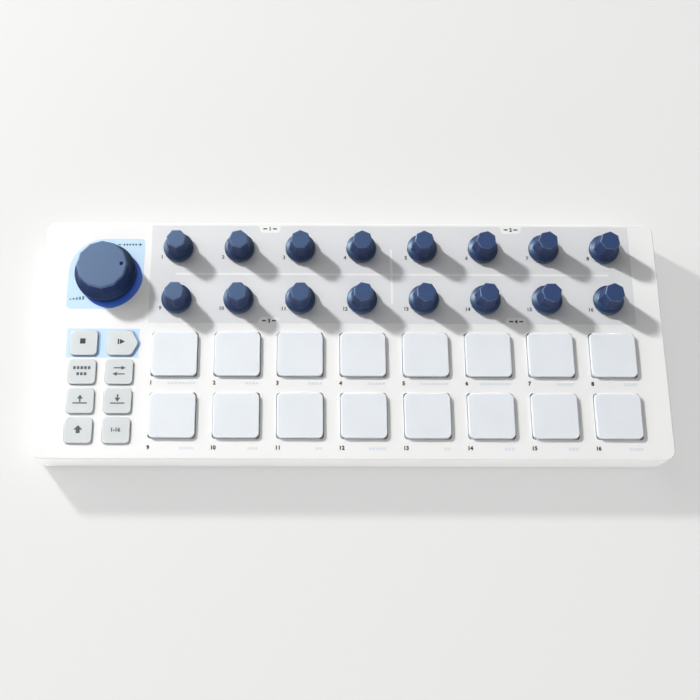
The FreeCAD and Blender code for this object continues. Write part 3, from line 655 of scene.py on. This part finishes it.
# Rubber feet: nitrile rubber, moulded, glued under the plate.
# Dust and skin oil leave it unevenly matt.
rubber = clouds(new_material("nitrile_rubber_moulded", "#1B1B1C", 0.85), "#191919", "#242424", width=3)
dress("rubber_feet", grain(rubber, width=0.4, height=0.04, roughness=(0.75, 0.92)))


# Knobs: slate-blue ABS, moulded hollow around a hub, pressed onto the flat of the encoder's shaft.
# A satin lacquer turns the tops pale towards the window. The facets keep the matt grain of the mould, and the
# smoother skirt has a bright edge on the lamp's side. Facets and skirt are painted a darker blue than the tops:
# painted shade on the knobs' sides.
knob_height, knob_foot = 12.4, panel_top / mm + 0.5
arris_softness, rim_softness, crown_edge, foot_edge = 0.35, 0.5, 0.45, 0.2
shaft_radius, shaft_flat, shaft_gap, flat_start, top_skin, hub_wall = 3.0, 1.4, 0.05, 1.5, 3.0, 1.0
facet_steepness, skirt_top, tip_chamfer = 0.4, 2.6, 0.3
dimple_radius, dimple_depth, dimple_inset = 1.0, 0.35, 2.6


def softer(first, second, softness):
    """The smaller of two distances, with the corner between them rounded off."""
    near = np.maximum(softness - np.abs(first - second), 0) / softness
    return np.minimum(first, second) - near ** 2 * softness / 4


def flatted(angle, radius, flat):
    """Radius of a round bar with one flat that faces the angle 0."""
    facing = np.cos(angle)
    return np.where(facing * radius > radius - flat, (radius - flat) / np.maximum(facing, 0.01), radius)


def knob_shape(base, flange, waist, waist_height, crown, sides, hollow, hollow_height, turn, top_step, steps=24):
    """Rings of a knob in mm about its own axis, from the end of its bore down, out under the skirt and up.

    Low down, the outside is the smaller of the upright flange and a cone that slopes in above it. The barrel is a
    pyramid of flat facets, whose distance grows with one over the cosine of the angle from the middle of the facet.
    Its corners meet the cone at the waist. The outside is the larger of the two, with every joint rounded, and the
    points of a ring crowd towards the barrel's corners as a sine does towards its peak. The flat top is filled with
    ever smaller copies of its rim, about top_step apart.
    """
    half = math.pi / sides
    across = half * np.sin(np.linspace(-math.pi / 2, math.pi / 2, steps + 1)[:-1])
    off = np.tile(np.abs(across), sides)
    angle = (half * (2 * np.arange(sides)[:, None] + 1) + across).ravel()
    lean = (base - waist) / (waist_height - flange)
    spread = (waist - crown) / (knob_height - waist_height)

    def outside(height):
        flat = (crown + spread * (knob_height - height)) * math.cos(half)
        barrel = softer(flat / np.cos(off), flat / np.cos(2 * half - off), arris_softness)
        skirt = softer(base, base - lean * (height - flange), rim_softness)
        return -softer(-barrel, -skirt, arris_softness)

    def ring(radius, height):
        radius = np.broadcast_to(radius, angle.shape)
        return np.stack([radius * np.cos(angle), radius * np.sin(angle), np.full_like(angle, height)], axis=1)

    bore, hub = shaft_radius + shaft_gap, shaft_radius + shaft_gap + hub_wall
    keyed = flatted(angle, bore, shaft_flat)
    rings = [ring(keyed, knob_height - top_skin + shaft_gap), ring(keyed, flat_start), ring(bore, flat_start),
             ring(bore, 0), ring(hub, 0), ring(hub, hollow_height), ring(hollow, hollow_height), ring(hollow, 0)]
    bend = np.linspace(0, math.pi / 2, 4)
    rings += [ring(base - foot_edge * (1 - math.sin(b)), foot_edge * (1 - math.cos(b))) for b in bend]
    heights = np.concatenate([np.linspace(0.4, flange - 0.2, 3), np.linspace(flange - 0.1, waist_height + 0.8, 24),
                              np.linspace(waist_height + 0.8, knob_height - crown_edge, 12)[1:]])
    rings += [ring(outside(height), height) for height in heights]
    for inward, upward in list(rolled_edge(crown_edge))[1:]:
        rings.append(ring(outside(knob_height + upward) - inward, knob_height + upward))
    rim = rings[-1]
    rings += [rim * [share, share, 1] for share in (0.985, *np.linspace(0.96, 0.03, int(crown / top_step)))]
    c, s = math.cos(turn), math.sin(turn)
    return np.array(rings) @ np.array([[c, s, 0], [-s, c, 0], [0, 0, 1]])


def crown_turn(node, sides):
    """The turn of a CAD knob: the direction of the farthest corner of its top, within one side."""
    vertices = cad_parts[node].data.vertices
    points = np.empty(len(vertices) * 3)
    vertices.foreach_get("co", points)
    points = points.reshape(-1, 3)
    crown = points[points[:, 2] > points[:, 2].max() - 0.01 * mm][:, :2] - box_middle(node)
    far = crown[np.linalg.norm(crown, axis=1).argmax()]
    return math.atan2(far[1], far[0]) % (2 * math.pi / sides)


def shaft_shape(foot, turn):
    """Rings of a knob's shaft: round at its foot with a small chamfer, then flat on one side up to the top."""
    angle = np.radians(np.arange(0, 360, 4))
    keyed = flatted(angle, shaft_radius, shaft_flat)
    rows = [(shaft_radius - tip_chamfer, foot), (shaft_radius, foot + tip_chamfer), (shaft_radius, flat_start),
            (keyed, flat_start), (keyed, knob_height - top_skin)]
    rings = [np.stack([radius * np.cos(angle + turn), radius * np.sin(angle + turn), np.full_like(angle, height)],
                      axis=1) for radius, height in rows]
    return np.array(rings)


def add_knob(node, rings, turn, finishes_and_shade):
    """A knob and its shaft where the CAD node stands. Its top, facets and skirt get a material each, the facets and
    skirt a darker painted shade. Gives the cap.
    """
    low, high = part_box(node)
    place = np.array([*box_middle(node), knob_foot * mm])
    cap = skin(node + "_cap", rings * mm + place, finishes_and_shade[0], node, crease=40)
    for finish in finishes_and_shade[1:]:
        cap.data.materials.append(finish)
    faces = cap.data.polygons
    normals, middles = np.empty(len(faces) * 3), np.empty(len(faces) * 3)
    faces.foreach_get("normal", normals)
    faces.foreach_get("center", middles)
    height = middles[2::3] / mm - knob_foot
    facet = (np.abs(normals[2::3]) < facet_steepness) & (height > skirt_top)
    on_top = height > knob_height - crown_edge - dimple_depth
    faces.foreach_set("material_index", np.where(on_top, 0, np.where(facet, 1, 2)).astype(np.int32))
    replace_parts(cap, node)
    shaft = shaft_shape(low.z / mm - knob_foot, turn)
    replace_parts(skin(node + "_shaft", shaft * mm + place, shaft_steel, node), node)
    return cap


shaft_steel = new_material("steel_turned_nickel_plated", "#BDBBB4", 0.25, Metallic=1.0)
shaft_steel = grain(shaft_steel, width=0.1, height=0.005, roughness=(0.2, 0.34), stretch=(1, 1, 0.3))


def slate_finishes_and_shade(name, patch, facet_gloss, skirt_gloss):
    """The lacquered top, the matt facets with the grain of the mould and the smoother skirt, for one size of knob.

    Facets and skirt are a darker blue than the top: painted shade.
    """
    satin = new_material(name + "_satin", "#20366A", 0.46, IOR=1.8, Specular_IOR_Level=0.85,
                         Specular_Tint=linear("#CEEDFF"))
    matt = new_material(name + "_matt", "#192C55", 0.6, Specular_IOR_Level=facet_gloss)
    smooth = new_material(name + "_smooth", "#16274F", 0.45, Specular_IOR_Level=skirt_gloss,
                          Specular_Tint=linear("#CEEDFF"))
    return (grain(clouds(satin, "#1F3467", "#21386E", patch), width=0.3, height=0.008, roughness=(0.42, 0.5)),
            grain(clouds(matt, "#182B52", "#1B2E59", patch), width=0.25, height=0.02, roughness=(0.55, 0.65)),
            grain(clouds(smooth, "#15264C", "#172953", patch), width=0.3, height=0.006, roughness=(0.42, 0.5)))


small_sides = 7
small_slate = slate_finishes_and_shade("abs_slate_blue_moulded", patch=5, facet_gloss=0.42, skirt_gloss=0.95)
for node in knob_names:
    turn = crown_turn(node, small_sides)
    shape = knob_shape(base=7.6, flange=1.9, waist=5.9, waist_height=2.9, crown=5.05, sides=small_sides, hollow=5.7,
                       hollow_height=1.2, turn=turn, top_step=0.5)
    add_knob(node, shape, turn, small_slate)

main_sides, main_crown = 12, 12.5
turn = crown_turn("main_knob", main_sides)
shape = knob_shape(base=15.4, flange=2.5, waist=13.6, waist_height=4.2, crown=main_crown, sides=main_sides,
                   hollow=10.6, hollow_height=8.0, turn=turn, top_step=0.2)
bowl = (dimple_radius ** 2 + dimple_depth ** 2) / (2 * dimple_depth)
dimple = (main_crown - dimple_inset) * headings(turn)
off = np.linalg.norm(shape[..., :2] - dimple, axis=-1)
on_top = (shape[..., 2] > knob_height - 0.001) & (off < dimple_radius)
shape[..., 2] -= np.where(on_top, dimple_depth - bowl + np.sqrt(np.maximum(bowl ** 2 - off ** 2, 0)), 0)
main_slate = slate_finishes_and_shade("abs_slate_blue_moulded_large", patch=9, facet_gloss=0.14, skirt_gloss=0.3)
cap = add_knob("main_knob", shape, turn, main_slate)
# The dimple's bowl takes the facets' darker matt material: painted shade in the recess, with less gloss.
middles, finish = np.empty(len(cap.data.polygons) * 3), np.empty(len(cap.data.polygons), np.int32)
cap.data.polygons.foreach_get("center", middles)
cap.data.polygons.foreach_get("material_index", finish)
middles = middles.reshape(-1, 3)
in_bowl = (np.linalg.norm(middles[:, :2] - main_middle - dimple * mm, axis=1) < dimple_radius * mm) & (finish == 0)
cap.data.polygons.foreach_set("material_index", np.where(in_bowl, 1, finish).astype(np.int32))


# Floor: pale painted board under the controller. It only carries the shadow and isn't part of the object.
# The camera sees it mixed with plain white, which keeps its shadow pale, and it lies a hair under the feet.
floor_size, floor_height, white_share, white_strength = 6.0, -0.02 * mm, 0.6, 0.79
floor_mesh = bpy.data.meshes.new("floor")
floor_corners = [(-floor_size, -floor_size, floor_height), (floor_size, -floor_size, floor_height),
                 (floor_size, floor_size, floor_height), (-floor_size, floor_size, floor_height)]
floor_mesh.from_pydata(floor_corners, [], [(0, 1, 2, 3)])
painted, tree, shader, place = new_material("board_pale_painted", "#F1F1EF", 0.8)
grain((painted, tree, shader, place), width=1.5, height=0.02)
glow = add_node(tree, "ShaderNodeEmission", {"Color": linear("#FFFFFF"), "Strength": white_strength})
camera_ray = add_node(tree, "ShaderNodeLightPath").outputs["Is Camera Ray"]
seen = add_node(tree, "ShaderNodeMath", {0: camera_ray, 1: white_share}, operation="MULTIPLY")
pale = add_node(tree, "ShaderNodeMixShader", {"Fac": seen.outputs[0], 1: shader.outputs[0], 2: glow.outputs[0]})
tree.links.new(pale.outputs[0], tree.nodes["Material Output"].inputs["Surface"])
floor_mesh.materials.append(painted)
floor = bpy.data.objects.new("floor", floor_mesh)
bpy.context.scene.collection.objects.link(floor)


# Light: one soft lamp at the back left, a pale room that is brighter towards the horizon, a card in front, a card at
# the left and a window above. The lamp's falloff is constant, so the whole panel is lit as by a lamp further off.
lamp_power, lamp_radius, lamp_place = 41.5, 45 * mm, np.array([-612, 519, 490]) * mm
lamp = bpy.data.lights.new("lamp", "POINT")
lamp.energy, lamp.shadow_soft_size = lamp_power, lamp_radius
lamp.use_nodes = True
tree = lamp.node_tree
even = add_node(tree, "ShaderNodeLightFalloff", {"Strength": 1.0})
tree.links.new(even.outputs["Constant"], tree.nodes["Emission"].inputs["Strength"])
lamp_object = bpy.data.objects.new("lamp", lamp)
lamp_object.location = lamp_place
lamp_object.visible_camera = False
bpy.context.scene.collection.objects.link(lamp_object)


def soft_card(name, width, height, energy, place, aim):
    """A flat lamp of a size in metres that faces the way it is aimed."""
    card = bpy.data.lights.new(name, "AREA")
    card.shape, card.size, card.size_y, card.energy = "RECTANGLE", width, height, energy
    card_object = bpy.data.objects.new(name, card)
    card_object.location = place
    card_object.rotation_euler = (Vector(aim) - Vector(place)).to_track_quat("-Z", "Y").to_euler()
    card_object.visible_camera = False
    bpy.context.scene.collection.objects.link(card_object)


soft_card("card_in_front", width=1.6, height=0.3, energy=5.5, place=(0.05, -1.1, 0.18), aim=(0.05, 0, 0.05))
soft_card("card_at_left", width=0.7, height=0.4, energy=4.6, place=(-1.15, 0.4, 0.42), aim=(-0.05, 0.03, 0.03))
soft_card("window", width=0.7, height=0.8, energy=3.0, place=(-0.5, 0.55, 1.15), aim=(-0.1, 0.03, 0.02))

zenith_light, horizon_light = 0.1, 0.94
world = bpy.data.worlds.new("room")
world.use_nodes = True
tree = world.node_tree
sky = add_node(tree, "ShaderNodeSeparateXYZ", {"Vector": add_node(tree, "ShaderNodeTexCoord").outputs["Generated"]})
down = add_node(tree, "ShaderNodeMath", {0: 1.0, 1: sky.outputs["Z"]}, operation="SUBTRACT", use_clamp=True)
steep = add_node(tree, "ShaderNodeMath", {0: down.outputs[0], 1: 2.0}, operation="POWER")
shade = add_node(tree, "ShaderNodeMapRange", {"Value": steep.outputs[0], "To Min": zenith_light,
                                              "To Max": horizon_light})
tree.links.new(shade.outputs["Result"], tree.nodes["Background"].inputs["Strength"])
tree.nodes["Background"].inputs["Color"].default_value = (1, 1, 1, 1)
bpy.context.scene.world = world


# Camera: a little over half a metre above the front left of the panel, tilted 17 degrees back from straight down.
# The focal length and the shift of the axis are in pixels of a picture 700 pixels wide.
picture_width, focal_length, axis_right, axis_down = 700, 1026.21, 306.95, 0.5
camera_place = Vector((-26.69, -156.44, panel_top / mm + 485.76)) * mm
camera_data = bpy.data.cameras.new("camera")
camera_data.sensor_width = 36.0
camera_data.lens = camera_data.sensor_width * focal_length / picture_width
camera_data.shift_x = (picture_width / 2 - axis_right) / picture_width
camera_data.shift_y = axis_down / picture_width
camera = bpy.data.objects.new("camera", camera_data)
tilt, yaw, roll = math.radians(17.11), math.radians(0.504), -0.0011
aim = Matrix.Rotation(-yaw, 4, "Y") @ Matrix.Rotation(tilt, 4, "X") @ Matrix.Rotation(-roll, 4, "Z")
camera.matrix_world = Matrix.Translation(camera_place) @ aim
bpy.context.scene.collection.objects.link(camera)
bpy.context.scene.camera = camera
bpy.context.scene.view_settings.view_transform = "Standard"

bpy.context.view_layer.update()
